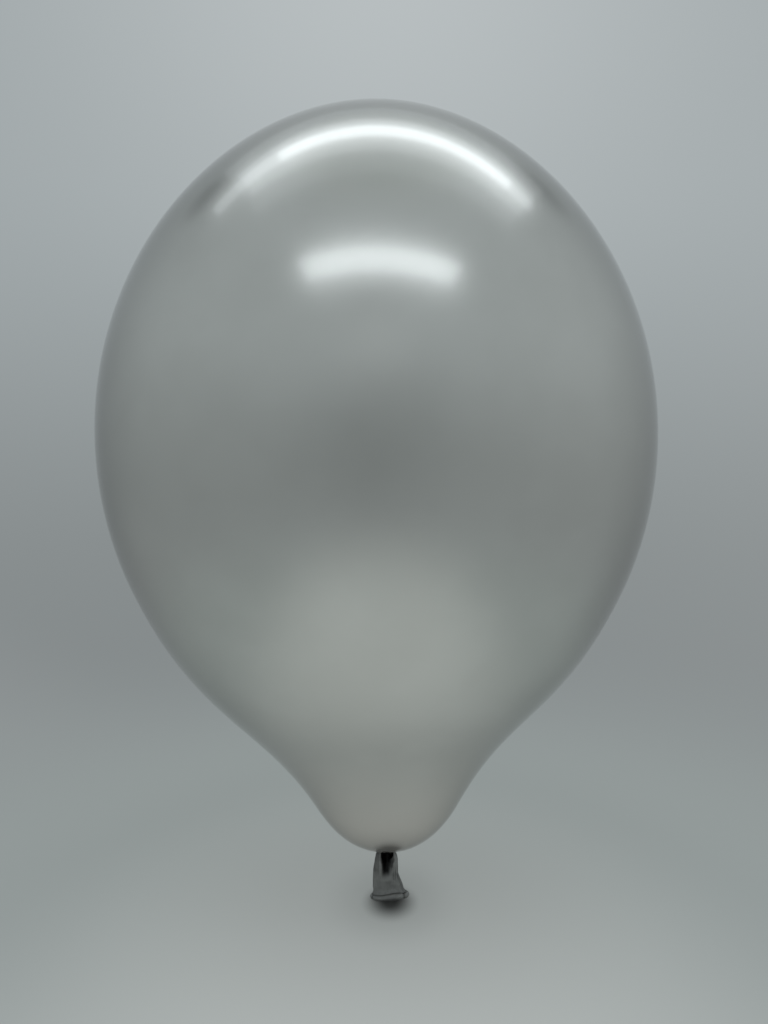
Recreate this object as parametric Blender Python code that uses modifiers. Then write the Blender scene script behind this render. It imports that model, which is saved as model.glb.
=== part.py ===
"""Latex balloon, inflated and tied: skin, gathered neck, knot, tail and rolled lip.

Metres, +Z up. The origin is the middle of the knot, where a ribbon is tied.
+X is to the right and -Y towards the viewer.
"""

import math

import bpy
import numpy as np

# Skin of the inflated envelope
EQUATOR_R = 0.1525
EQUATOR_Z = 0.2326
CROWN_RISE = 0.1815
CROWN_TAPER = 1.089
FLANK_DROP = 0.1766
SKIN = 0.0003

# Where the flank leaves its ellipse, and the nipple below it
FLANK_END_ANGLE = math.radians(24.8)
FLANK_PULL = 0.0736
NOSE_TIP_Z = -0.0004
NOSE_TOP_R = 0.0419
NOSE_RISE = 0.0275
NOSE_POWER = 2.57
NOSE_PULL = 0.0625
NOSE_FOOT_R = 0.0125

# Dimple that holds the knot: the skin rolls inwards, then curls back to the stem
ROLL_R = 0.0048
ROLL_END_ANGLE = math.radians(165.0)
CURL_R = 0.0026
CURL_END_ANGLE = math.radians(100.0)
NECK_HOLE_R = 0.00255

# Lean of the upper body to the left of the knot: most of it in the nipple
LEAN_FOOT_Z = 0.0174
NIPPLE_LEAN = -0.0044
NIPPLE_LEAN_RISE = 0.0723
BODY_LEAN = -0.0013
BODY_LEAN_RISE = 0.3500

# Gathered neck
STEM_R = 0.0020
STEM_TOP_R = 0.0026
STEM_TOP_Z = 0.0102
STEM_FOOT_Z = -0.0042

# Strand wound round the stem
STRAND_R = 0.00145
LOOP_R = 0.0038
LOOP_TURNS = 1.2
LOOP_RISE = 0.0032

# Tail, from the knot down to the lip
TAIL_TOP_Z = -0.0037
TAIL_WALL = 0.00035
SIDE_FULLNESS = 0.8
GUTTER_X = 0.0006
GUTTER_FLATNESS = 3.0
GUTTER_EASE = 1.5

# Rolled lip
LIP_Z = -0.0296
LIP_HALF_X = 0.0097
LIP_HALF_Y = 0.0031
LIP_SHIFT_X = 0.0018
LIP_BEAD_R = 0.00165
LIP_TILT = 0.0006
LIP_DROOP = 0.0003
LIP_GAP = 0.0003

# Sections of the tail in mm: fraction of the way down, left, right, front and
# back edges, then half width and depth of the gutter pressed into its front
TAIL_SECTIONS = (
    (0.00, -2.65, 2.65, -2.65, 2.65, 4.3, 0.0),
    (0.03, -4.60, 4.50, -3.00, 2.60, 4.3, 0.3),
    (0.08, -6.00, 5.80, -3.40, 2.40, 4.5, 3.4),
    (0.14, -6.30, 6.30, -3.50, 2.40, 4.5, 4.8),
    (0.22, -6.70, 6.60, -3.50, 2.40, 4.2, 4.8),
    (0.28, -6.90, 6.65, -3.40, 2.40, 3.5, 4.6),
    (0.42, -7.25, 6.65, -3.10, 2.30, 2.6, 3.6),
    (0.52, -7.40, 6.45, -2.80, 2.20, 2.1, 2.0),
    (0.60, -7.40, 7.15, -2.60, 2.20, 1.9, 0.8),
    (0.70, -7.30, 8.10, -2.50, 2.20, 1.7, 0.0),
    (0.82, -7.10, 9.30, -2.50, 2.40, 1.7, 0.0),
    (0.90, -7.00, 9.90, -2.60, 2.60, 1.7, 0.0),
    (0.96, -7.60, 10.75, -3.00, 3.00, 1.7, 0.0),
    (1.00, -8.05, 11.65, -3.27, 3.27, 1.7, 0.0),
)

# Facets
TURN_STEPS = 40
TAIL_SIDES = 64


def clear_scene():
    """Start from an empty scene."""
    for item in list(bpy.data.objects):
        bpy.data.objects.remove(item)


def collection(name):
    """Make a collection in the scene."""
    group = bpy.data.collections.new(name)
    bpy.context.scene.collection.children.link(group)
    return group


def material(name, color, roughness, metallic):
    """Make a Principled material."""
    made = bpy.data.materials.new(name)
    made.use_nodes = True
    shader = made.node_tree.nodes["Principled BSDF"]
    shader.inputs["Base Color"].default_value = (*color, 1.0)
    shader.inputs["Roughness"].default_value = roughness
    shader.inputs["Metallic"].default_value = metallic
    return made


def smoothstep(x):
    """Ease from 0 to 1 with level ends."""
    x = np.clip(x, 0.0, 1.0)
    return x * x * (3.0 - 2.0 * x)


def finish(item, group, look):
    """Put an object in its collection with its material, shaded smooth."""
    group.objects.link(item)
    item.data.materials.append(look)
    if item.type == "MESH":
        item.data.shade_smooth()
    return item


def turned(name, profile, steps, look, group):
    """Turn a profile of (radius, height) points, given top to bottom, about Z."""
    mesh = bpy.data.meshes.new(name)
    points = [(float(r), 0.0, float(z)) for r, z in profile]
    edges = [(i, i + 1) for i in range(len(points) - 1)]
    mesh.from_pydata(points, edges, [])
    item = finish(bpy.data.objects.new(name, mesh), group, look)
    screw = item.modifiers.new("Turn", "SCREW")
    screw.steps = steps
    screw.render_steps = steps
    screw.use_merge_vertices = True
    screw.merge_threshold = 0.00001
    screw.use_smooth_shade = True
    return item


def flank_end():
    """Radius and height where the flank's slope reaches FLANK_END_ANGLE."""
    turn = math.atan(math.tan(FLANK_END_ANGLE) * FLANK_DROP / EQUATOR_R)
    return EQUATOR_R * math.cos(turn), EQUATOR_Z - FLANK_DROP * math.sin(turn), turn


def nose_height(r):
    """Height of the rounded nipple at radius r."""
    return NOSE_TIP_Z + NOSE_RISE * (r / NOSE_TOP_R) ** NOSE_POWER


def nose_angle(r):
    """Direction of the nipple's profile at radius r, measured from straight down."""
    slope = NOSE_POWER * NOSE_RISE / NOSE_TOP_R * (r / NOSE_TOP_R) ** (NOSE_POWER - 1.0)
    return math.atan2(1.0, slope)


def arc(start, radius, angle, end_angle, count):
    """Arc going on from a profile point, its direction measured from straight down."""
    side = math.copysign(radius, end_angle - angle)
    turn = np.linspace(angle, end_angle, count + 1)[1:]
    r = start[0] + side * (np.cos(turn) - math.cos(angle))
    z = start[1] - side * (np.sin(turn) - math.sin(angle))
    return list(zip(r, z))


def shoulder(count):
    """Cubic curve from the flank's end to the top of the nipple, tangent to both."""
    r0, z0, _ = flank_end()
    r3, z3 = NOSE_TOP_R, nose_height(NOSE_TOP_R)
    r1 = r0 - FLANK_PULL * math.sin(FLANK_END_ANGLE)
    z1 = z0 - FLANK_PULL * math.cos(FLANK_END_ANGLE)
    r2 = r3 + NOSE_PULL * math.sin(nose_angle(NOSE_TOP_R))
    z2 = z3 + NOSE_PULL * math.cos(nose_angle(NOSE_TOP_R))
    t = np.linspace(0.0, 1.0, count + 1)[1:]
    a, b, c, d = (1 - t) ** 3, 3 * t * (1 - t) ** 2, 3 * t * t * (1 - t), t ** 3
    return list(zip(a * r0 + b * r1 + c * r2 + d * r3, a * z0 + b * z1 + c * z2 + d * z3))


def envelope_profile():
    """Profile of the inflated skin, from the crown to the neck's opening."""
    crown = np.linspace(0.0, math.pi / 2, 13)
    crown_r = EQUATOR_R * np.sin(crown) ** CROWN_TAPER
    points = list(zip(crown_r, EQUATOR_Z + CROWN_RISE * np.cos(crown)))
    flank = np.linspace(0.0, flank_end()[2], 7)[1:]
    points += list(zip(EQUATOR_R * np.cos(flank), EQUATOR_Z - FLANK_DROP * np.sin(flank)))
    points += shoulder(7)
    nose = np.linspace(NOSE_TOP_R, NOSE_FOOT_R, 6)[1:]
    points += list(zip(nose, nose_height(nose)))
    points += arc(points[-1], ROLL_R, nose_angle(NOSE_FOOT_R), ROLL_END_ANGLE, 6)
    points += arc(points[-1], CURL_R, ROLL_END_ANGLE, CURL_END_ANGLE, 3)
    curl_r, curl_z = points[-1]
    points.append((NECK_HOLE_R, curl_z - (curl_r - NECK_HOLE_R) / math.tan(CURL_END_ANGLE)))
    return points


def lean(z):
    """Sideways shift of the envelope at height z."""
    rise = z - LEAN_FOOT_Z
    nipple = NIPPLE_LEAN * smoothstep(rise / NIPPLE_LEAN_RISE)
    return nipple + BODY_LEAN * smoothstep(rise / BODY_LEAN_RISE)


def build_envelope(group):
    """The inflated skin: a turned surface with a wall, then leaned over the knot."""
    look = material("pearl_silver_latex", (0.70, 0.70, 0.67), 0.30, 0.85)
    item = turned("envelope", envelope_profile(), TURN_STEPS, look, group)
    wall = item.modifiers.new("Skin", "SOLIDIFY")
    wall.thickness = SKIN
    wall.offset = -1.0
    graph = bpy.context.evaluated_depsgraph_get()
    mesh = bpy.data.meshes.new_from_object(item.evaluated_get(graph))
    item.modifiers.clear()
    item.data = mesh
    for vertex in mesh.vertices:
        vertex.co.x += float(lean(vertex.co.z))
    return item


def build_stem(group, look):
    """The gathered neck, a turned plug that widens inside the envelope."""
    t = np.linspace(0.0, 1.0, 7)
    heights = STEM_TOP_Z + (STEM_FOOT_Z - STEM_TOP_Z) * t
    radii = STEM_R + (STEM_TOP_R - STEM_R) * (1.0 - smoothstep(2.0 * t))
    profile = [(0.0, STEM_TOP_Z)] + list(zip(radii, heights)) + [(0.0, STEM_FOOT_Z)]
    return turned("neck_stem", profile, 16, look, group)


def build_loop(group, look):
    """The strand wound round the stem, a little more than one turn."""
    curve = bpy.data.curves.new("knot_loop", "CURVE")
    curve.dimensions = "3D"
    curve.bevel_depth = STRAND_R
    curve.bevel_resolution = 2
    curve.use_fill_caps = True
    spline = curve.splines.new("POLY")
    count = 32
    spline.points.add(count - 1)
    for i in range(count):
        t = i / (count - 1)
        angle = 2.0 * math.pi * LOOP_TURNS * (t - 0.5) - math.pi / 2
        height = LOOP_RISE * LOOP_TURNS * (0.5 - t)
        spline.points[i].co = (LOOP_R * math.cos(angle), LOOP_R * math.sin(angle), height, 1.0)
    return finish(bpy.data.objects.new("knot_loop", curve), group, look)


def lip_height(x, y):
    """Height of the lip's centre line: low at its left end and in front."""
    return LIP_Z + LIP_TILT * (x - LIP_SHIFT_X) / LIP_HALF_X + LIP_DROOP * y / LIP_HALF_Y


def tail_ring(section, inset):
    """One ring of points round the tail, on its skin or set in square to it."""
    left, right, front, back, gutter_width, gutter_depth = (0.001 * v for v in section[1:])
    angle = np.linspace(0.0, 2.0 * math.pi, TAIL_SIDES, endpoint=False)
    x = (left + right) / 2 + (right - left) / 2 * np.sin(angle)
    fullness = np.abs(np.cos(angle)) ** SIDE_FULLNESS
    across = np.abs(x - GUTTER_X) / gutter_width
    gutter = gutter_depth * np.clip(1.0 - across ** GUTTER_FLATNESS, 0.0, 1.0) ** GUTTER_EASE
    y = np.where(np.cos(angle) > 0, back * fullness, front * fullness + gutter)
    along_x = np.roll(x, -1) - np.roll(x, 1)
    along_y = np.roll(y, -1) - np.roll(y, 1)
    length = np.hypot(along_x, along_y)
    x, y = x + inset * along_y / length, y - inset * along_x / length
    foot = lip_height(x, y) + LIP_BEAD_R + LIP_GAP
    z = TAIL_TOP_Z + (foot - TAIL_TOP_Z) * section[0]
    return [(float(a), float(b), float(c)) for a, b, c in zip(x, y, z)]


def build_tail(group, look):
    """The neck's free end: an outer and an inner loft, joined at both ends."""
    rings = [tail_ring(section, 0.0) for section in TAIL_SECTIONS]
    rings += [tail_ring(section, TAIL_WALL) for section in reversed(TAIL_SECTIONS)]
    faces = []
    for i in range(len(rings)):
        upper = i * TAIL_SIDES
        lower = (i + 1) % len(rings) * TAIL_SIDES
        for k in range(TAIL_SIDES):
            m = (k + 1) % TAIL_SIDES
            faces.append((upper + k, upper + m, lower + m, lower + k))
    mesh = bpy.data.meshes.new("tail")
    mesh.from_pydata([point for ring in rings for point in ring], [], faces)
    return finish(bpy.data.objects.new("tail", mesh), group, look)


def build_lip(group, look):
    """The rolled rim: a closed oval tube."""
    curve = bpy.data.curves.new("lip", "CURVE")
    curve.dimensions = "3D"
    curve.bevel_depth = LIP_BEAD_R
    curve.bevel_resolution = 2
    spline = curve.splines.new("POLY")
    count = 40
    spline.points.add(count - 1)
    for i in range(count):
        angle = 2.0 * math.pi * i / count
        x = LIP_SHIFT_X + LIP_HALF_X * math.cos(angle)
        y = LIP_HALF_Y * math.sin(angle)
        spline.points[i].co = (x, y, lip_height(x, y), 1.0)
    spline.use_cyclic_u = True
    return finish(bpy.data.objects.new("lip", curve), group, look)


def main():
    """Build the balloon."""
    clear_scene()
    parts = collection("latex_balloon")
    slack = material("slack_silver_latex", (0.23, 0.23, 0.225), 0.45, 0.55)
    build_envelope(parts)
    build_stem(parts, slack)
    build_loop(parts, slack)
    build_tail(parts, slack)
    build_lip(parts, slack)


main()
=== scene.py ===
"""A tied latex balloon in pearl silver, in a plain pale studio.

Metres, +Z up, the origin in the middle of the knot, -Y towards the viewer.
The five pieces stand for the five CAD solids of the same places: the inflated
skin, the gathered neck, the strand of the knot, the tail and the rolled lip.
"""

import math

import bpy
import numpy as np
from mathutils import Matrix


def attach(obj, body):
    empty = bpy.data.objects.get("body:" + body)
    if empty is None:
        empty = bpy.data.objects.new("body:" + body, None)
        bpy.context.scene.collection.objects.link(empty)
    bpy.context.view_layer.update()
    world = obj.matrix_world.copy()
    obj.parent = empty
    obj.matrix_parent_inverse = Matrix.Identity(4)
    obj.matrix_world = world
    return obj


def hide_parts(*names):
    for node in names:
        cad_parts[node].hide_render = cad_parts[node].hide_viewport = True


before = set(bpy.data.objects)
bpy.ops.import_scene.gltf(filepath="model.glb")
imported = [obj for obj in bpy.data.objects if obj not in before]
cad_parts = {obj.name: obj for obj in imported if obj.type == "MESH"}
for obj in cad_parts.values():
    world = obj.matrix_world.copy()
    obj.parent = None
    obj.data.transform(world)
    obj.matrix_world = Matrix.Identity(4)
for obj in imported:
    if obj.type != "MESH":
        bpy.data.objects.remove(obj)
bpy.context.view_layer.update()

MM = 0.001

# Inflated skin: crown, flank, shoulder and nipple
EQUATOR_R = 0.1525
EQUATOR_Z = 0.2326
CROWN_RISE = 0.1815
CROWN_TAPER = 1.089
FLANK_DROP = 0.1766
FLANK_END_ANGLE = math.radians(24.8)
FLANK_PULL = 0.0736
NOSE_TIP_Z = -0.0004
NOSE_TOP_R = 0.0419
NOSE_RISE = 0.0275
NOSE_POWER = 2.57
NOSE_PULL = 0.0625
NOSE_FOOT_R = 0.0125
SKIN = 0.0003

# Points down each stretch of the skin, and round it
CROWN_ROWS = 56
FLANK_ROWS = 28
SHOULDER_ROWS = 24
NOSE_ROWS = 20
ROLL_ROWS = 14
CURL_ROWS = 8
HOLE_ROWS = 5
SKIN_COLUMNS = 180

# Dimple round the knot, and the pleats that gather the skin into the neck
ROLL_R = 0.0048
ROLL_END_ANGLE = math.radians(165.0)
CURL_R = 0.0026
CURL_END_ANGLE = math.radians(100.0)
NECK_HOLE_R = 0.00255
PLEATS = 13
PLEAT_DEPTH = 0.00032
PLEAT_REACH = 0.0150
PLEAT_TOP_Z = 0.0200
PLEAT_SHARPNESS = 1.4

# Slower sines that pull the pleats about: amount, waves in one turn, phase
PLEAT_SWAY = ((0.7, 2.0, 1.0), (0.5, 5.0, 2.0))

# Lean of the upper body over the knot
LEAN_FOOT_Z = 0.0174
NIPPLE_LEAN = -0.0044
NIPPLE_LEAN_RISE = 0.0723
BODY_LEAN = -0.0013
BODY_LEAN_RISE = 0.3500

# Gathered neck
NECK_ROWS = 60
NECK_COLUMNS = 130
NECK_R = 0.0020
NECK_TOP_R = 0.0026
NECK_TOP_Z = 0.0102
NECK_FOOT_Z = -0.0042
NECK_TAPER_END = 0.5
NECK_TWIST = 1.6
NECK_SHADE = 0.45
NECK_CREASE_RUN = 0.3

# Strand of the knot
STRAND_ROWS = 220
STRAND_COLUMNS = 64
STRAND_R = 0.00145
STRAND_END_SHARE = 0.55
STRAND_END_LENGTH = 0.06
LOOP_R = 0.0038
LOOP_TURNS = 1.2
LOOP_RISE = 0.0032
STRAND_CREASES = 5.0
STRAND_CREASE_WIND = 2.5
STRAND_CREASE_WAVER = 3.0
STRAND_CREASE_SOFTNESS = 0.7
STRAND_CREASE_DEPTH = 0.14
STRAND_SHADE = 0.5
STRAND_CREASE_RUN = 0.8

# Tail
TAIL_ROWS = 120
TAIL_COLUMNS = 300
TAIL_TOP_Z = -0.0037
TAIL_WALL = 0.00035
SIDE_FULLNESS = 0.8
GUTTER_X = 0.0006
GUTTER_FLATNESS = 2.0
GUTTER_EASE = 1.3
TAIL_CREASE_RUN = 0.5

# Rolled lip
LIP_ROWS = 240
LIP_COLUMNS = 48
LIP_Z = -0.0296
LIP_HALF_X = 0.0097
LIP_HALF_Y = 0.0031
LIP_SHIFT_X = 0.0018
LIP_BEAD_R = 0.00165
LIP_TILT = 0.0006
LIP_DROOP = 0.0003
LIP_SEAT = 0.0001
LIP_SWELL = 0.0012
LIP_STEP = 0.05
LIP_STEP_ANGLE = math.radians(150.0)
LIP_POINT = 0.32
LIP_POINT_POWER = 1.5
LIP_CREASE_RUN = 3.0

# Unevenness of the lip's tube: amount, waves in one turn, phase
LIP_WAVER = ((0.03, 3.0, 0.6), (0.02, 7.0, 2.0))

# Bumps on the lip, and the band of painted shade round its tube where the tail stands on it: centre and
# half width, across in the lip's own half widths, or as turns along it or round its tube
LIP_SWELL_X = (0.35, 0.55)
LIP_POINT_TURN = (math.pi, 0.32)
LIP_SEAT_ANGLE = (1.40, 0.22)

# Pinches of the lip, in front at the right and at the left: depth, place, half width. Then the painted
# shade in each pinch, in the same columns with an amount for the depth, and the painted shade where the
# tail stands on the lip
LIP_PINCHES = ((0.12, 5.65, 0.14), (0.08, 3.50, 0.12))
LIP_PINCH_SHADES = ((0.5, 5.65, 0.10), (0.5, 3.50, 0.10))
LIP_SEAT_SHADE = 0.45

# Folds of the tail that only show close to: centre and half width, across in metres
# or as a share of the way down
TUCK_X = (0.0046, 0.0007)
TUCK_S = (0.12, 0.04)
TUCK_DEPTH = 0.6
BAND_X = (0.0047, 0.0018)
BAND_S = (0.56, 0.14)
FOLD_DEPTH = 0.00025
FOLD_WIDTH = 0.0012
PANEL_X = (0.0006, 0.0042)
PANEL_S = (0.68, 0.06)
PANEL_SWELL = 0.00020
EDGE_INSET = 0.0010
EDGE_HALF = 0.0004
EDGE_CREASE = 0.00018

# Painted shade of the tail that changes over a stretch: where it starts, its length, and the values before
# and after it. The first is how the edge's crease comes in, in its shape and its painted shade
EDGE_S = (0.48, 0.08, 0.0, 1.0)
HOLLOW_X = (0.08, 0.20, 0.00045, -0.00025)
HOLLOW_HALF = (0.05, 0.20, 0.0041, 0.0034)
HOLLOW_EDGE = (0.10, 0.25, 0.0008, 0.0024)
HOLLOW_FADE = (0.46, 0.20, 1.0, 0.0)
HOLLOW_PALER = (0.15, 0.20, 1.0, 0.90)
BESIDE_X = (-0.0044, 0.0008, 0.35, 0.0)
BESIDE_S = (0.40, 0.20, 1.0, 0.0)
FOOT_SHADE = (0.975, 0.025, 0.0, 0.25)
SIDE_SHADE = (0.93, 0.06, 0.0, 0.35)
FOLD_SHADE = 0.50
EDGE_SHADE = 0.30
SHADE_ALL_OVER = 0.06

# Sections of the tail in mm: fraction of the way down, left, right, front and
# back edges, then half width and depth of the gutter pressed into its front
TAIL_SECTIONS = (
    (0.00, -2.65, 2.65, -2.65, 2.65, 4.3, 0.0),
    (0.03, -4.60, 4.50, -3.00, 2.60, 4.3, 0.3),
    (0.08, -6.00, 5.80, -3.40, 2.40, 4.5, 3.4),
    (0.14, -6.30, 6.30, -3.50, 2.40, 4.5, 4.8),
    (0.22, -6.70, 6.60, -3.50, 2.40, 4.2, 4.8),
    (0.28, -6.90, 6.65, -3.40, 2.40, 3.5, 4.6),
    (0.42, -7.50, 6.75, -3.10, 2.30, 3.2, 2.6),
    (0.52, -7.65, 6.75, -2.80, 2.20, 3.0, 1.2),
    (0.60, -7.75, 7.35, -2.60, 2.20, 2.8, 0.4),
    (0.70, -7.80, 8.25, -2.50, 2.20, 1.7, 0.0),
    (0.82, -7.85, 9.40, -2.50, 2.40, 1.7, 0.0),
    (0.90, -7.55, 9.90, -2.60, 2.60, 1.7, 0.0),
    (0.96, -7.70, 10.75, -3.00, 3.00, 1.7, 0.0),
    (1.00, -8.05, 11.65, -3.27, 3.27, 1.7, 0.0),
)

# Finish of the stretched skin. Cloud and grain: scale, detail and roughness of their
# noise. A range of two: where a change begins and ends. A range of four: also the
# values there. Metallic and satin: on the skin, and in the ring round the knot. Bump:
# strength and rise
SKIN_CLOUD = (26.0, 3.0)
SKIN_GRAIN = (2600.0, 2.0, 0.7)
SKIN_CLOUD_RANGE = (0.35, 0.65)
WARM_FOOT_Z = (0.085, 0.000)
CROWN_TIP_Z = (0.4105, 0.4142)
KNOT_RING_REACH = (0.0145, 0.0085)
PEARL_RANGE = (0.30, 0.70, 0.0, 0.10)
SKIN_METALLIC = (0.85, 0.30)
SKIN_SATIN = (0.0, 0.35)
SKIN_ROUGH = (0.2, 0.8, 0.23, 0.27)
SKIN_BUMP = (0.06, 0.0001)
SKIN_GLOSS = {
    "Specular Tint": (0.35, 0.35, 0.35, 1.0),
    "Coat Weight": 0.90,
    "Coat Roughness": 0.09,
    "Coat IOR": 1.50,
}

# Finish of the slack skin, in the same order. Metallic: outside, and deep in a fold's painted shade
SLACK_CLOUD = (330.0, 3.0)
SLACK_GRAIN = (5200.0, 2.0, 0.7)
SLACK_CLOUD_RANGE = (0.3, 0.7)
SLACK_CREASES = (4.0, 0.6)
WORN_RANGE = (0.50, 0.72, 0.0, 0.35)
SLACK_METALLIC = (0.55, 1.0)
SLACK_ROUGH = (0.2, 0.8, 0.40, 0.52)
SLACK_GRAIN_BUMP = (0.15, 0.00005)
SLACK_CREASE_BUMP = (0.5, 0.00025)
SLACK_GLOSS = {"Coat Weight": 0.12, "Coat Roughness": 0.30}
KNOT_CREASE_SCALE = 3.0
TAIL_CREASE_SCALE = 5.0

# Colours
BLACK = (0.0, 0.0, 0.0)
WHITE = (1.0, 1.0, 1.0)
SILVER = (0.715, 0.715, 0.680)
PALE_SILVER = (0.745, 0.745, 0.710)
WARM_FOOT = (0.740, 0.695, 0.645)
CROWN_TIP = (0.550, 0.550, 0.530)
# Pale ring round the knot: thicker skin, made paler with painted light
LIT_KNOT_RING = (0.800, 0.770, 0.730)
PEARL = (0.92, 0.92, 0.90)
GUNMETAL = (0.265, 0.265, 0.260)
PALE_GUNMETAL = (0.335, 0.335, 0.328)
WORN = (0.400, 0.395, 0.385)
# Black of the painted shade deep in folds
PAINTED_FOLD_BLACK = (0.003, 0.003, 0.003)
PAPER = (0.40, 0.415, 0.41)
DIM_FLOOR = (0.150, 0.165, 0.161)
LIT_FLOOR = (0.293, 0.307, 0.298)
LOW_WALL = (0.238, 0.260, 0.264)
HIGH_WALL = (0.360, 0.397, 0.408)
COOL_LIGHT = (0.90, 0.955, 1.0)
AIR = (0.5, 0.53, 0.55, 1.0)

# Studio
FLOOR_Z = -0.0320
FLOOR_R = 0.35
SWEEP_R = 0.60
WALL_TOP_Z = 1.10
DOME_RISE = 0.30
FLOOR_ROWS = 8
BEND_ROWS = 24
DOME_ROWS = 16
SWEEP_COLUMNS = 96
PAPER_GLOSS = {"Emission Strength": 1.0, "Roughness": 1.0, "Specular IOR Level": 0.0}

# Soft areas of the floor: place, distances where the area begins and ends to fade, amounts. The painted
# shadow under the lip and the wider painted halo of shade round it are drawn in sideways by FLOOR_OVAL, the
# painted pool of light in front by FLOOR_SLIM
FLOOR_OVAL = (1.35, 1.0, 1.0)
FLOOR_SLIM = (2.0, 1.0, 1.0)
LIP_SHADOW_PLACE = (0.003, -0.003, FLOOR_Z)
LIP_SHADOW_RANGE = (0.003, 0.0245, 0.10, 1.0)
LIP_SHADOW_HALO = ((0.003, 0.001, FLOOR_Z), 0.012, 0.060, 0.22)
FRONT_GLOW = ((0.0, -0.30, FLOOR_Z), 0.15, 0.55, 1.0)

# Distances from the balloon's axis where the painted shade of the balloon on the floor's glow fades out,
# and where the floor gives way to the wall, and heights where the wall gets lighter
ROUND_SHADE = (0.02, 0.16, 0.20, 0.0)
FLOOR_TO_WALL = (0.22, 0.62)
WALL_LIGHTENS = (0.00, 0.75)

# Soft spots on the wall and dome: centre, distances where the spot begins and
# ends to fade, amount, and whether it brightens or darkens
WALL_SPOTS = (
    ((0.0, 0.95, 1.20), 0.00, 0.90, 0.120, "bright"),
    ((0.02, -0.06, 1.40), 0.05, 0.50, 0.320, "bright"),
    ((0.0, -0.95, 0.62), 0.00, 0.35, 0.045, "bright"),
    ((0.0, -0.93, 1.04), 0.00, 0.35, 0.200, "dark"),
    ((1.20, 0.20, 0.40), 0.30, 1.60, 0.035, "bright"),
    ((0.0, -0.95, 0.10), 0.10, 0.55, 0.220, "dark"),
    ((-0.50, 0.20, 0.0), 0.05, 0.35, 0.035, "bright"),
    ((-0.76, 0.42, 1.22), 0.02, 0.20, 0.520, "dark"),
    ((0.69, 0.50, 1.21), 0.02, 0.22, 0.420, "dark"),
)

# Strips of light overhead: name, place, length and width, power in watts
STRIPS = (
    ("strip_above", (0.033, -0.035, 0.600), (0.365, 0.035), 0.044),
    ("strip_above_long", (-0.015, -0.035, 0.604), (0.585, 0.045), 0.053),
    ("strip_above_near_glow", (0.022, -0.042, 0.608), (0.50, 0.11), 0.060),
    ("strip_above_glow", (0.015, -0.036, 0.612), (0.52, 0.24), 0.060),
    ("strip_front", (0.01, -0.393, 0.60), (0.43, 0.09), 0.172),
)

# Camera, at the photograph's distance and height
CAMERA_PLACE = (-0.00137, -0.4428, 0.191)
CAMERA_LENS = 27.03
CAMERA_SENSOR = 36.0


def smoothstep(x):
    """Ease from 0 to 1 with level ends: 3x squared minus 2x cubed."""
    x = np.clip(x, 0.0, 1.0)
    return x * x * (3.0 - 2.0 * x)


def eased(x, start, length, before, after):
    """Ease from the value before a stretch of x to the value after it."""
    return before + (after - before) * smoothstep((x - start) / length)


def waves(angle, rows):
    """Sum of sines, given as rows of amount, waves in one turn and phase."""
    return sum(amount * np.sin(count * angle + phase) for amount, count, phase in rows)


def ring_angles(count):
    """Angles of one full turn, anticlockwise seen from above."""
    return np.linspace(0.0, 2.0 * math.pi, count, endpoint=False)


def flank_end():
    """Radius, height and turn where the flank's slope reaches FLANK_END_ANGLE."""
    turn = math.atan(math.tan(FLANK_END_ANGLE) * FLANK_DROP / EQUATOR_R)
    return EQUATOR_R * math.cos(turn), EQUATOR_Z - FLANK_DROP * math.sin(turn), turn


def nose_height(r):
    """Height of the rounded nipple at radius r: its tip plus a power of r."""
    return NOSE_TIP_Z + NOSE_RISE * (r / NOSE_TOP_R) ** NOSE_POWER


def nose_angle(r):
    """Direction of the nipple's profile at radius r, measured from straight down."""
    slope = NOSE_POWER * NOSE_RISE / NOSE_TOP_R * (r / NOSE_TOP_R) ** (NOSE_POWER - 1.0)
    return math.atan2(1.0, slope)


def arc(start, radius, angle, end_angle, count):
    """Arc going on from a profile point, its direction measured from straight down."""
    side = math.copysign(radius, end_angle - angle)
    turn = np.linspace(angle, end_angle, count + 1)[1:]
    r = start[0] + side * (np.cos(turn) - math.cos(angle))
    z = start[1] - side * (np.sin(turn) - math.sin(angle))
    return np.column_stack([r, z])


def shoulder(count):
    """Cubic Bezier from the flank's end to the top of the nipple, tangent to both."""
    r0, z0, _ = flank_end()
    r3, z3 = NOSE_TOP_R, nose_height(NOSE_TOP_R)
    top_angle = nose_angle(NOSE_TOP_R)
    handles = np.array([
        [r0, z0],
        [r0 - FLANK_PULL * math.sin(FLANK_END_ANGLE), z0 - FLANK_PULL * math.cos(FLANK_END_ANGLE)],
        [r3 + NOSE_PULL * math.sin(top_angle), z3 + NOSE_PULL * math.cos(top_angle)],
        [r3, z3],
    ])
    t = np.linspace(0.0, 1.0, count + 1)[1:]
    weights = np.column_stack([(1 - t) ** 3, 3 * t * (1 - t) ** 2, 3 * t * t * (1 - t), t ** 3])
    return weights @ handles


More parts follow.
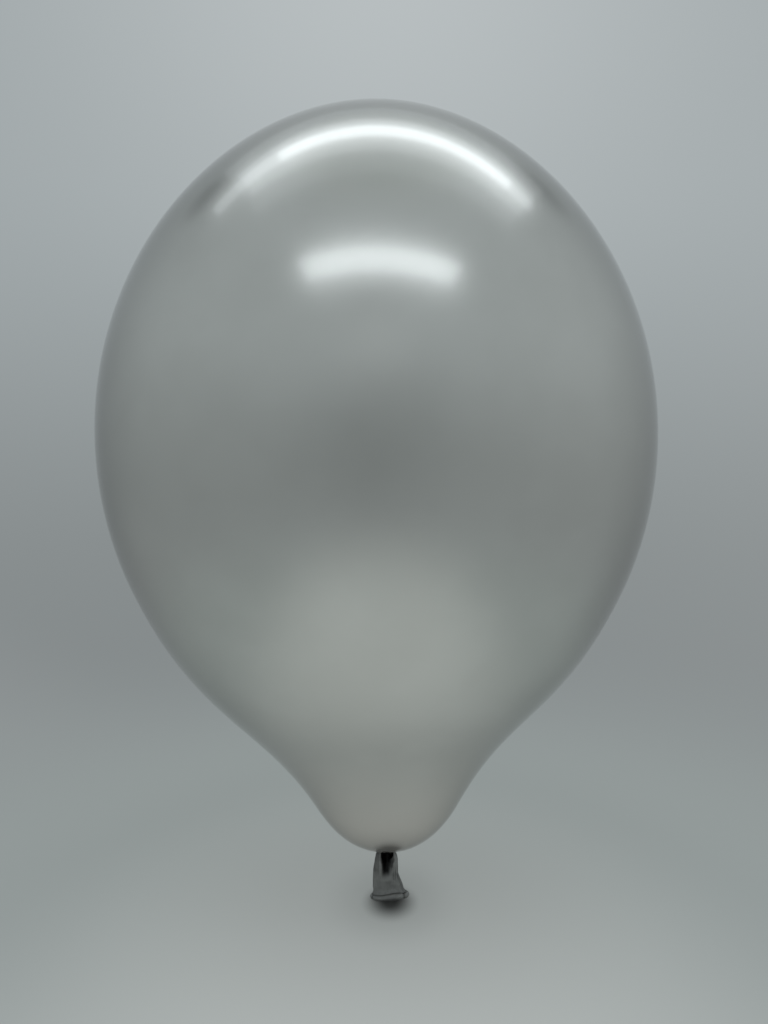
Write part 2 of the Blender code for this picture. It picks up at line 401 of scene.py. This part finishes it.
def skin_profile():
    """Radius and height down the skin: sine and cosine of the crown, ellipse of the
    flank, Bezier shoulder, power curve of the nipple, then two arcs into the neck's hole."""
    crown = np.linspace(0.0, math.pi / 2, CROWN_ROWS)[1:]
    flank = np.linspace(0.0, flank_end()[2], FLANK_ROWS)[1:]
    nose = np.linspace(NOSE_TOP_R, NOSE_FOOT_R, NOSE_ROWS)[1:]
    parts = [
        np.column_stack([EQUATOR_R * np.sin(crown) ** CROWN_TAPER, EQUATOR_Z + CROWN_RISE * np.cos(crown)]),
        np.column_stack([EQUATOR_R * np.cos(flank), EQUATOR_Z - FLANK_DROP * np.sin(flank)]),
        shoulder(SHOULDER_ROWS),
        np.column_stack([nose, nose_height(nose)]),
    ]
    parts.append(arc(parts[-1][-1], ROLL_R, nose_angle(NOSE_FOOT_R), ROLL_END_ANGLE, ROLL_ROWS))
    parts.append(arc(parts[-1][-1], CURL_R, ROLL_END_ANGLE, CURL_END_ANGLE, CURL_ROWS))
    curl_r, curl_z = parts[-1][-1]
    neck_r = np.linspace(curl_r, NECK_HOLE_R, HOLE_ROWS)[1:]
    parts.append(np.column_stack([neck_r, curl_z - (curl_r - neck_r) / math.tan(CURL_END_ANGLE)]))
    return np.concatenate(parts)


def lean(z):
    """Sideways shift of the skin at height z: two eased steps, nipple and body."""
    rise = z - LEAN_FOOT_Z
    nipple = NIPPLE_LEAN * smoothstep(rise / NIPPLE_LEAN_RISE)
    return nipple + BODY_LEAN * smoothstep(rise / BODY_LEAN_RISE)


def pleat_wave(angle):
    """Uneven pleats round the neck, from -1 to 1: a sine of PLEATS waves whose
    spacing is pulled about by two slower sines, sharpened at its valleys."""
    pulled = PLEATS * angle + waves(angle, PLEAT_SWAY)
    return 1.0 - 2.0 * np.abs(np.sin(pulled / 2.0)) ** PLEAT_SHARPNESS


def grid_quads(rows, columns, close_rows):
    """Quads of a grid whose columns close on themselves, wound to face outwards
    when its rows run downwards and its columns anticlockwise."""
    row = np.arange(rows if close_rows else rows - 1)[:, None]
    column = np.arange(columns)[None, :]
    below = (row + 1) % rows
    beside = (column + 1) % columns
    corners = [row * columns + column, below * columns + column]
    corners += [below * columns + beside, row * columns + beside]
    return np.stack(corners, axis=-1).reshape(-1, 4)


def spread(*parts):
    """Stack arrays of unlike but matching shapes into one array of vectors."""
    return np.stack(np.broadcast_arrays(*parts), axis=-1)


def bell(x, centre, width):
    """Smooth bump of height 1: e to the minus square of the distance in widths."""
    return np.exp(-((x - centre) / width) ** 2)


def keep_field(mesh, name, values):
    """Keep a number or a vector for each point of a mesh. Pole points come after the
    grid's points and get 0."""
    kind, key = ("FLOAT_VECTOR", "vector") if values.ndim == 3 else ("FLOAT", "value")
    count = values.shape[0] * values.shape[1]
    kept = np.zeros((len(mesh.vertices),) + values.shape[2:])
    kept[:count] = values.reshape(kept[:count].shape)
    mesh.attributes.new(name, kind, "POINT")
    mesh.attributes[name].data.foreach_set(key, kept.ravel())


def surface(name, grid, top=None, foot=None, close_rows=False, **fields):
    """Mesh of a grid of points, rows by columns. top and foot are pole points that
    close its ends with fans. A field is a number or a vector for each point, kept
    for the material to read."""
    rows, columns = grid.shape[:2]
    points = grid.reshape(-1, 3)
    faces = grid_quads(rows, columns, close_rows).tolist()
    column = np.arange(columns)
    beside = (column + 1) % columns
    if top is not None:
        pole = np.full(columns, len(points))
        points = np.vstack([points, top])
        faces += np.column_stack([pole, column, beside]).tolist()
    if foot is not None:
        pole = np.full(columns, len(points))
        points = np.vstack([points, foot])
        last = (rows - 1) * columns
        faces += np.column_stack([pole, last + beside, last + column]).tolist()
    mesh = bpy.data.meshes.new(name)
    mesh.from_pydata(points.tolist(), [], faces)
    mesh.polygons.foreach_set("use_smooth", np.ones(len(mesh.polygons), bool))
    for field, values in fields.items():
        keep_field(mesh, field, values)
    mesh.update()
    piece = bpy.data.objects.new(name, mesh)
    bpy.context.scene.collection.objects.link(piece)
    return piece


def thicken(piece, wall):
    """Give an open skin its wall, inwards, and close its rims."""
    solid = piece.modifiers.new("Wall", "SOLIDIFY")
    solid.thickness = wall
    solid.offset = -1.0


# Finishes


def new_material(name):
    """A material with its Principled shader: the material, its tree and the shader."""
    made = bpy.data.materials.new(name)
    made.use_nodes = True
    tree = made.node_tree
    return made, tree, tree.nodes["Principled BSDF"]


def add_node(tree, kind, inputs=None, **settings):
    """Add a node, set its plain settings, and set or link its inputs."""
    node = tree.nodes.new(kind)
    for key, value in settings.items():
        setattr(node, key, value)
    for key, value in (inputs or {}).items():
        if isinstance(value, bpy.types.NodeSocket):
            tree.links.new(value, node.inputs[key])
        else:
            node.inputs[key].default_value = value
    return node


def noise(tree, vector, scale, detail=2.0, roughness=0.5):
    """Noise in about 0 to 1, read at a vector."""
    inputs = {"Vector": vector, "Scale": scale, "Detail": detail, "Roughness": roughness}
    return add_node(tree, "ShaderNodeTexNoise", inputs).outputs["Fac"]


def remap(tree, value, low, high, to_low=0.0, to_high=1.0):
    """Map low..high smoothly to to_low..to_high."""
    inputs = {"Value": value, "From Min": low, "From Max": high, "To Min": to_low, "To Max": to_high}
    return add_node(tree, "ShaderNodeMapRange", inputs, interpolation_type="SMOOTHSTEP").outputs["Result"]


def mixed(tree, share, first, second, mode="MIX"):
    """Mix two colours: the first at share 0, the second at share 1."""
    node = add_node(tree, "ShaderNodeMix", data_type="RGBA", blend_type=mode)
    for index, value in ((0, share), (6, first), (7, second)):
        if isinstance(value, bpy.types.NodeSocket):
            tree.links.new(value, node.inputs[index])
        else:
            node.inputs[index].default_value = value if index == 0 else (*value, 1.0)
    return node.outputs[2]


def set_inputs(shader, values):
    """Give a shader's inputs fixed values."""
    for key, value in values.items():
        shader.inputs[key].default_value = value


def distance(tree, place, centre):
    """Distance of a place from a fixed point."""
    node = add_node(tree, "ShaderNodeVectorMath", {0: place, 1: centre}, operation="DISTANCE")
    return node.outputs["Value"]


def spot(tree, place, centre, inner, outer, amount):
    """Soft round area: an amount within the inner distance of a centre, 0 beyond the outer."""
    return remap(tree, distance(tree, place, centre), inner, outer, amount, 0.0)


def object_place(tree):
    """Object coordinates, and their height."""
    place = add_node(tree, "ShaderNodeTexCoord").outputs["Object"]
    height = add_node(tree, "ShaderNodeSeparateXYZ", {"Vector": place}).outputs["Z"]
    return place, height


def bump(tree, height, strength, rise, over=None):
    """Bump normal from a height, laid over another bump normal if one is given."""
    inputs = {"Height": height, "Strength": strength, "Distance": rise}
    if over is not None:
        inputs["Normal"] = over
    return add_node(tree, "ShaderNodeBump", inputs).outputs["Normal"]


def stretched_latex():
    """Pearl silver skin under tension: flake-like metallic body under a soft gloss, warmer at the foot,
    darker at the crown's tip and satin round the knot, where the skin is thicker. The ring round the knot
    is also paler: painted light that lifts the dark reflection of the tail and of the floor's shadow."""
    made, tree, shader = new_material("stretched_pearl_latex")
    place, height = object_place(tree)
    cloud = noise(tree, place, *SKIN_CLOUD)
    grain = noise(tree, place, *SKIN_GRAIN)
    silver = mixed(tree, remap(tree, cloud, *SKIN_CLOUD_RANGE), SILVER, PALE_SILVER)
    warm = mixed(tree, remap(tree, height, *WARM_FOOT_Z), silver, WARM_FOOT)
    tip = mixed(tree, remap(tree, height, *CROWN_TIP_Z), warm, CROWN_TIP)
    dimple = remap(tree, distance(tree, place, (0.0, 0.0, 0.0)), *KNOT_RING_REACH)
    # Ring round the knot: satin thicker skin, paler with painted light over the dark reflection above the
    # tail
    thick_and_lit = mixed(tree, dimple, tip, LIT_KNOT_RING)
    pearl = mixed(tree, remap(tree, grain, *PEARL_RANGE), thick_and_lit, PEARL)
    tree.links.new(pearl, shader.inputs["Base Color"])
    tree.links.new(remap(tree, dimple, 0.0, 1.0, *SKIN_METALLIC), shader.inputs["Metallic"])
    satin = remap(tree, dimple, 0.0, 1.0, *SKIN_SATIN)
    rough = add_node(tree, "ShaderNodeMath", {0: remap(tree, grain, *SKIN_ROUGH), 1: satin})
    tree.links.new(rough.outputs["Value"], shader.inputs["Roughness"])
    set_inputs(shader, SKIN_GLOSS)
    tree.links.new(bump(tree, grain, *SKIN_BUMP), shader.inputs["Normal"])
    return made


def slack_latex(name, crease_scale):
    """Unstretched neck latex: darker gunmetal, satin, with fine creases that follow the skin's own length,
    and painted shade from the fold_shade field, nearly black deep in its folds."""
    made, tree, shader = new_material(name)
    place, _ = object_place(tree)
    along = add_node(tree, "ShaderNodeAttribute", attribute_name="along_skin").outputs["Vector"]
    fold = add_node(tree, "ShaderNodeAttribute", attribute_name="fold_shade").outputs["Fac"]
    cloud = noise(tree, place, *SLACK_CLOUD)
    grain = noise(tree, place, *SLACK_GRAIN)
    creases = noise(tree, along, crease_scale, *SLACK_CREASES)
    grey = mixed(tree, remap(tree, cloud, *SLACK_CLOUD_RANGE), GUNMETAL, PALE_GUNMETAL)
    worn = mixed(tree, remap(tree, creases, *WORN_RANGE), grey, WORN)
    shaded = mixed(tree, fold, worn, PAINTED_FOLD_BLACK)
    tree.links.new(shaded, shader.inputs["Base Color"])
    tree.links.new(remap(tree, fold, 0.0, 1.0, *SLACK_METALLIC), shader.inputs["Metallic"])
    tree.links.new(remap(tree, grain, *SLACK_ROUGH), shader.inputs["Roughness"])
    set_inputs(shader, SLACK_GLOSS)
    fine = bump(tree, grain, *SLACK_GRAIN_BUMP)
    lines = bump(tree, creases, *SLACK_CREASE_BUMP, over=fine)
    tree.links.new(lines, shader.inputs["Normal"])
    return made


# Pieces


def build_skin():
    """Inflated skin: the profile turned about Z, pleated inside the dimple by a wave
    that grows towards the neck's hole, and leaned to the left above the nipple."""
    profile = skin_profile()
    angle = ring_angles(SKIN_COLUMNS)
    step = np.gradient(profile, axis=0)
    outward = np.column_stack([-step[:, 1], step[:, 0]]) / np.hypot(step[:, 0], step[:, 1])[:, None]
    radius, height = profile[:, 0], profile[:, 1]
    inside = (height < PLEAT_TOP_Z) & (radius < PLEAT_REACH)
    reach = np.where(inside, smoothstep((PLEAT_REACH - radius) / (PLEAT_REACH - NECK_HOLE_R)), 0.0)
    depth = PLEAT_DEPTH * reach[:, None] * (pleat_wave(angle)[None, :] - 1.0) / 2.0
    r = radius[:, None] + depth * outward[:, None, 0]
    z = height[:, None] + depth * outward[:, None, 1]
    grid = spread(r * np.cos(angle) + lean(z), r * np.sin(angle), z)
    crown = (float(lean(EQUATOR_Z + CROWN_RISE)), 0.0, EQUATOR_Z + CROWN_RISE)
    piece = surface("inflated_skin", grid, top=crown)
    thicken(piece, SKIN)
    return piece


def build_neck():
    """Gathered neck: a turned column whose radius carries the same pleats, deepest
    in its middle, and twists as it goes down."""
    t = np.linspace(0.0, 1.0, NECK_ROWS)[:, None]
    angle = ring_angles(NECK_COLUMNS)[None, :]
    radius = eased(t, 0.0, NECK_TAPER_END, NECK_TOP_R, NECK_R)
    pleat = pleat_wave(angle + NECK_TWIST * t)
    r = radius + PLEAT_DEPTH * (pleat - 1.0) / 2.0
    z = NECK_TOP_Z + (NECK_FOOT_Z - NECK_TOP_Z) * t
    grid = spread(r * np.cos(angle), r * np.sin(angle), z)
    along = spread(np.cos(angle), np.sin(angle), NECK_CREASE_RUN * t)
    # Painted shade in the valleys of the pleats
    shade = NECK_SHADE * (1.0 - pleat) / 2.0
    ends = (0, 0, NECK_TOP_Z), (0, 0, NECK_FOOT_Z)
    return surface("gathered_neck", grid, *ends, along_skin=along, fold_shade=shade)


def carried(path, closed, radius, angle):
    """Carry a round section along a path: at each path point the section lies in the
    plane of the level sideways direction and the direction square to it and the path.
    radius is given for each path point and section angle."""
    if closed:
        ahead = np.roll(path, -1, axis=0) - np.roll(path, 1, axis=0)
    else:
        ahead = np.gradient(path, axis=0)
    ahead = ahead / np.linalg.norm(ahead, axis=1)[:, None]
    side = np.cross(ahead, (0.0, 0.0, 1.0))
    side = side / np.linalg.norm(side, axis=1)[:, None]
    over = np.cross(side, ahead)
    sideways = side[:, None, :] * np.cos(angle)[None, :, None]
    upwards = over[:, None, :] * np.sin(angle)[None, :, None]
    return path[:, None, :] + radius[:, :, None] * (sideways + upwards)


def build_strand():
    """Strand of the knot: a tube carried round the neck on a helix that falls with
    the turn, with lengthwise creases that wind along it and ends that taper."""
    t = np.linspace(0.0, 1.0, STRAND_ROWS)
    turn = 2.0 * math.pi * LOOP_TURNS * (t - 0.5) - math.pi / 2
    fall = LOOP_RISE * LOOP_TURNS * (0.5 - t)
    path = np.column_stack([LOOP_R * np.cos(turn), LOOP_R * np.sin(turn), fall])
    angle = ring_angles(STRAND_COLUMNS)
    drift = STRAND_CREASE_WIND * turn + np.sin(STRAND_CREASE_WAVER * turn)
    wound = STRAND_CREASES * angle[None, :] + drift[:, None]
    crease = np.abs(np.sin(wound / 2.0)) ** STRAND_CREASE_SOFTNESS
    ends = eased(np.minimum(t, 1.0 - t), 0.0, STRAND_END_LENGTH, STRAND_END_SHARE, 1.0)[:, None]
    radius = STRAND_R * ends * (1.0 - STRAND_CREASE_DEPTH * (1.0 - crease))
    grid = carried(path, False, radius, angle)
    run = STRAND_CREASE_RUN * turn[:, None]
    along = spread(np.cos(angle)[None, :], np.sin(angle)[None, :], run)
    # Painted shade in the strand's creases
    shade = STRAND_SHADE * (1.0 - crease)
    return surface("knot_strand", grid, path[0], path[-1], along_skin=along, fold_shade=shade)


def lip_height(x, y):
    """Height of the lip's centre line: low at its left end and in front."""
    return LIP_Z + LIP_TILT * (x - LIP_SHIFT_X) / LIP_HALF_X + LIP_DROOP * y / LIP_HALF_Y


def lip_swell(x, y):
    """How much taller the lip's roll stands in front, most right of its middle."""
    share = bell((x - LIP_SHIFT_X) / LIP_HALF_X, *LIP_SWELL_X)
    return LIP_SWELL * share * smoothstep(-y / LIP_HALF_Y)


def smooth_sections(s):
    """Tail sections at fractions s: each column eased between its neighbours by a
    cubic whose slopes are those of the broken line through them, kept level at turns."""
    table = np.array(TAIL_SECTIONS)
    place, values = table[:, 0], table[:, 1:] * MM
    gap = np.diff(place)[:, None]
    rise = np.diff(values, axis=0) / gap
    same = rise[:-1] * rise[1:] > 0.0
    middle = np.where(same, 2.0 * rise[:-1] * rise[1:] / np.where(same, rise[:-1] + rise[1:], 1.0), 0.0)
    slope = np.vstack([rise[:1], middle, rise[-1:]])
    k = np.clip(np.searchsorted(place, s, side="right") - 1, 0, len(place) - 2)
    h = gap[k]
    u = ((s - place[k]) / gap[k, 0])[:, None]
    start = (1 + 2 * u) * (1 - u) ** 2 * values[k] + u * (1 - u) ** 2 * h * slope[k]
    return start + u * u * (3 - 2 * u) * values[k + 1] + u * u * (u - 1) * h * slope[k + 1]


def tail_band(x, s):
    """Share of the small folds on the tail's right band."""
    return bell(x, *BAND_X) * bell(s, *BAND_S)


def tail_edge(x, s, right):
    """Share of the crease that runs inside the tail's right edge."""
    return bell(x, right - EDGE_INSET, EDGE_HALF) * eased(s, *EDGE_S)


def tail_shade(x, s, angle, right):
    """Painted shade of the tail's skin: in the hollow and the band left of it, in the small folds, the
    edge's crease and along the foot in front, on the turned sides, and a little all over."""
    off = np.abs(x - eased(s, *HOLLOW_X))
    hollow = smoothstep((eased(s, *HOLLOW_HALF) - off) / eased(s, *HOLLOW_EDGE))
    hollow = hollow * eased(s, *HOLLOW_FADE) * eased(s, *HOLLOW_PALER)
    beside = eased(x, *BESIDE_X) * eased(s, *BESIDE_S)
    folds = FOLD_SHADE * tail_band(x, s) * smoothstep(np.sin(2.0 * math.pi * x / FOLD_WIDTH))
    creased = folds + EDGE_SHADE * tail_edge(x, s, right) + eased(s, *FOOT_SHADE)
    side = eased(np.abs(np.sin(angle)), *SIDE_SHADE)
    front = np.where(np.cos(angle) < 0, hollow + beside + creased, 0.0)
    return np.clip(front + side + SHADE_ALL_OVER, 0.0, 1.0)


def build_tail():
    """Tail: an oval section carried down from the knot to the lip. Its half widths
    follow the sections, and its front half is pressed in by a gutter that a tuck
    narrows at the top right. Small folds run down its right band, the panel swells
    below the gutter, and a crease runs inside the right edge."""
    s = np.linspace(0.0, 1.0, TAIL_ROWS)
    angle = ring_angles(TAIL_COLUMNS)[None, ::-1]
    left, right, front, back, gutter_width, gutter_depth = (v[:, None] for v in smooth_sections(s).T)
    s = s[:, None]
    x = (left + right) / 2 + (right - left) / 2 * np.sin(angle)
    fullness = np.abs(np.cos(angle)) ** SIDE_FULLNESS
    across = np.abs(x - GUTTER_X) / gutter_width
    gutter = gutter_depth * np.clip(1.0 - across ** GUTTER_FLATNESS, 0.0, 1.0) ** GUTTER_EASE
    gutter = gutter * (1.0 - TUCK_DEPTH * bell(x, *TUCK_X) * bell(s, *TUCK_S))
    folds = FOLD_DEPTH * tail_band(x, s) * np.sin(2.0 * math.pi * x / FOLD_WIDTH)
    swell = PANEL_SWELL * bell(s, *PANEL_S) * bell(x, *PANEL_X)
    face = front * fullness + gutter + folds - swell + EDGE_CREASE * tail_edge(x, s, right)
    y = np.where(np.cos(angle) > 0, back * fullness, face)
    foot = lip_height(x, y) + lip_swell(x, y) + LIP_BEAD_R - LIP_SEAT
    z = TAIL_TOP_Z + (foot - TAIL_TOP_Z) * s
    along = spread(np.cos(angle), np.sin(angle), TAIL_CREASE_RUN * s)
    shade = tail_shade(x, s, angle, right)
    piece = surface("tail_skin", spread(x, y, z), along_skin=along, fold_shade=shade)
    thicken(piece, TAIL_WALL)
    return piece


def build_lip():
    """Rolled lip: a tube carried round an oval. Its section has a small step where the rolled edge lies on
    itself. The tube flattens to a point at the left end and is pinched where the front meets each end. It
    has painted shade where it is pinched and where the tail stands on it."""
    turn = ring_angles(LIP_ROWS)
    x = LIP_SHIFT_X + LIP_HALF_X * np.cos(turn)
    y = LIP_HALF_Y * np.sin(turn)
    swell = lip_swell(x, y) / 2.0
    path = np.column_stack([x, y, lip_height(x, y) + swell])
    angle = ring_angles(LIP_COLUMNS)
    pinch = sum(depth * bell(turn, place, half) for depth, place, half in LIP_PINCHES)
    point = LIP_POINT * bell(turn, *LIP_POINT_TURN)[:, None] * np.abs(np.sin(angle)) ** LIP_POINT_POWER
    step = LIP_STEP * np.mod(angle - LIP_STEP_ANGLE, 2.0 * math.pi) / (2.0 * math.pi)
    uneven = waves(turn, LIP_WAVER) - pinch
    radius = LIP_BEAD_R * (1.0 - LIP_STEP + uneven[:, None] - point + step[None, :])
    grid = carried(path, True, radius + swell[:, None], angle)
    run = LIP_CREASE_RUN * np.sin(turn)[:, None]
    along = spread(np.cos(angle)[None, :], np.sin(angle)[None, :], run)
    # Painted shade in the pinches and where the tail stands on the lip
    pinched = sum(depth * bell(turn, place, half) for depth, place, half in LIP_PINCH_SHADES)
    seat = LIP_SEAT_SHADE * bell(angle, *LIP_SEAT_ANGLE)
    shade = np.clip(seat[None, :] + pinched[:, None], 0.0, 1.0)
    return surface("rolled_lip", grid, close_rows=True, along_skin=along, fold_shade=shade)


# Studio


def build_sweep():
    """Floor, curved sweep, wall and dome of the studio in one turned surface, seen
    from inside: its height follows a quarter circle out of the floor and an ellipse
    over the top."""
    floor = np.linspace(0.0, FLOOR_R, FLOOR_ROWS)[1:]
    bend = np.linspace(0.0, math.pi / 2, BEND_ROWS)[1:]
    top = np.linspace(0.0, math.pi / 2, DOME_ROWS)[1:-1]
    wall_r = FLOOR_R + SWEEP_R
    parts = [
        np.column_stack([floor, np.full(len(floor), FLOOR_Z)]),
        np.column_stack([FLOOR_R + SWEEP_R * np.sin(bend), FLOOR_Z + SWEEP_R * (1.0 - np.cos(bend))]),
        np.array([[wall_r, WALL_TOP_Z]]),
        np.column_stack([wall_r * np.cos(top), WALL_TOP_Z + DOME_RISE * np.sin(top)]),
    ]
    profile = np.concatenate(parts)
    angle = ring_angles(SWEEP_COLUMNS)[None, :]
    r, z = profile[:, :1], profile[:, 1:]
    grid = spread(r * np.cos(angle), r * np.sin(angle), z)
    piece = surface("studio_sweep", grid, (0, 0, FLOOR_Z), (0, 0, WALL_TOP_Z + DOME_RISE))
    piece.data.materials.append(studio_paper())


def stretched_place(tree, place, scale):
    """A place with each of its coordinates scaled, for spots that aren't round."""
    node = add_node(tree, "ShaderNodeVectorMath", {0: place, 1: scale}, operation="MULTIPLY")
    return node.outputs["Vector"]


def floor_looks(tree, place, radius):
    """Paper and glow of the floor: a painted pool of light in front of the balloon, painted shade of the
    balloon round it, and a painted shadow, nearly black, where the lip stands."""
    oval = stretched_place(tree, place, FLOOR_OVAL)
    slim = stretched_place(tree, place, FLOOR_SLIM)
    # Painted shadow under the lip: the paper and the glow go nearly black there
    painted_lip_shadow = remap(tree, distance(tree, oval, LIP_SHADOW_PLACE), *LIP_SHADOW_RANGE)
    # Painted pool of light in front of the balloon, then painted shade of the balloon round its axis
    glow = mixed(tree, spot(tree, slim, *FRONT_GLOW), DIM_FLOOR, LIT_FLOOR)
    glow = mixed(tree, remap(tree, radius, *ROUND_SHADE), glow, BLACK)
    # Wider painted halo of shade round the lip
    glow = mixed(tree, spot(tree, oval, *LIP_SHADOW_HALO), glow, BLACK)
    return mixed(tree, painted_lip_shadow, BLACK, PAPER), mixed(tree, painted_lip_shadow, BLACK, glow)


def wall_glow(tree, place, height):
    """Glow of the wall and dome: brighter with height, with the spots laid over it."""
    wall = mixed(tree, remap(tree, height, *WALL_LIGHTENS), LOW_WALL, HIGH_WALL)
    for centre, inner, outer, amount, effect in WALL_SPOTS:
        share = spot(tree, place, centre, inner, outer, amount)
        colour, mode = (WHITE, "ADD") if effect == "bright" else (BLACK, "MIX")
        wall = mixed(tree, share, wall, colour, mode)
    return wall


def studio_paper():
    """Pale paper of the studio. The floor takes light and shade and glows a little, with painted light and
    shade in its glow and a painted shadow under the lip; the wall and dome only glow, dimmer at the
    balloon's height than above it."""
    made, tree, shader = new_material("studio_paper")
    place, height = object_place(tree)
    radius = distance(tree, stretched_place(tree, place, (1.0, 1.0, 0.0)), (0.0, 0.0, 0.0))
    lift = remap(tree, radius, *FLOOR_TO_WALL)
    paper, floor_glow = floor_looks(tree, place, radius)
    glow = mixed(tree, lift, floor_glow, wall_glow(tree, place, height))
    tree.links.new(mixed(tree, lift, paper, BLACK), shader.inputs["Base Color"])
    tree.links.new(glow, shader.inputs["Emission Color"])
    set_inputs(shader, PAPER_GLOSS)
    made.cycles.emission_sampling = "NONE"
    return made


def strip_light(name, place, size, power):
    """A soft strip overhead, shining down, not seen by the camera itself."""
    lamp = bpy.data.lights.new(name, "AREA")
    lamp.shape = "RECTANGLE"
    lamp.size, lamp.size_y = size
    lamp.energy = power
    lamp.color = COOL_LIGHT
    item = bpy.data.objects.new(name, lamp)
    item.location = place
    item.visible_camera = False
    bpy.context.scene.collection.objects.link(item)


def build_studio():
    """Sweep, lights, world and camera."""
    build_sweep()
    for strip in STRIPS:
        strip_light(*strip)
    scene = bpy.context.scene
    world = bpy.data.worlds.new("studio_air")
    world.use_nodes = True
    world.node_tree.nodes["Background"].inputs["Color"].default_value = AIR
    scene.world = world
    scene.view_settings.view_transform = "Standard"
    camera = bpy.data.objects.new("camera", bpy.data.cameras.new("camera"))
    camera.data.lens = CAMERA_LENS
    camera.data.sensor_width = CAMERA_SENSOR
    camera.location = CAMERA_PLACE
    camera.rotation_euler = (math.radians(90.0), 0.0, 0.0)
    scene.collection.objects.link(camera)
    scene.camera = camera


def dress(piece, node, look):
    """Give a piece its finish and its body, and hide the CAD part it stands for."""
    piece.data.materials.append(look)
    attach(piece, "root")
    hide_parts(node)


dress(build_skin(), "envelope", stretched_latex())
dress(build_neck(), "neck_stem", slack_latex("slack_neck_latex", KNOT_CREASE_SCALE))
dress(build_strand(), "knot_loop", slack_latex("slack_knot_latex", KNOT_CREASE_SCALE))
dress(build_tail(), "tail", slack_latex("slack_tail_latex", TAIL_CREASE_SCALE))
dress(build_lip(), "lip", slack_latex("slack_lip_latex", KNOT_CREASE_SCALE))
build_studio()
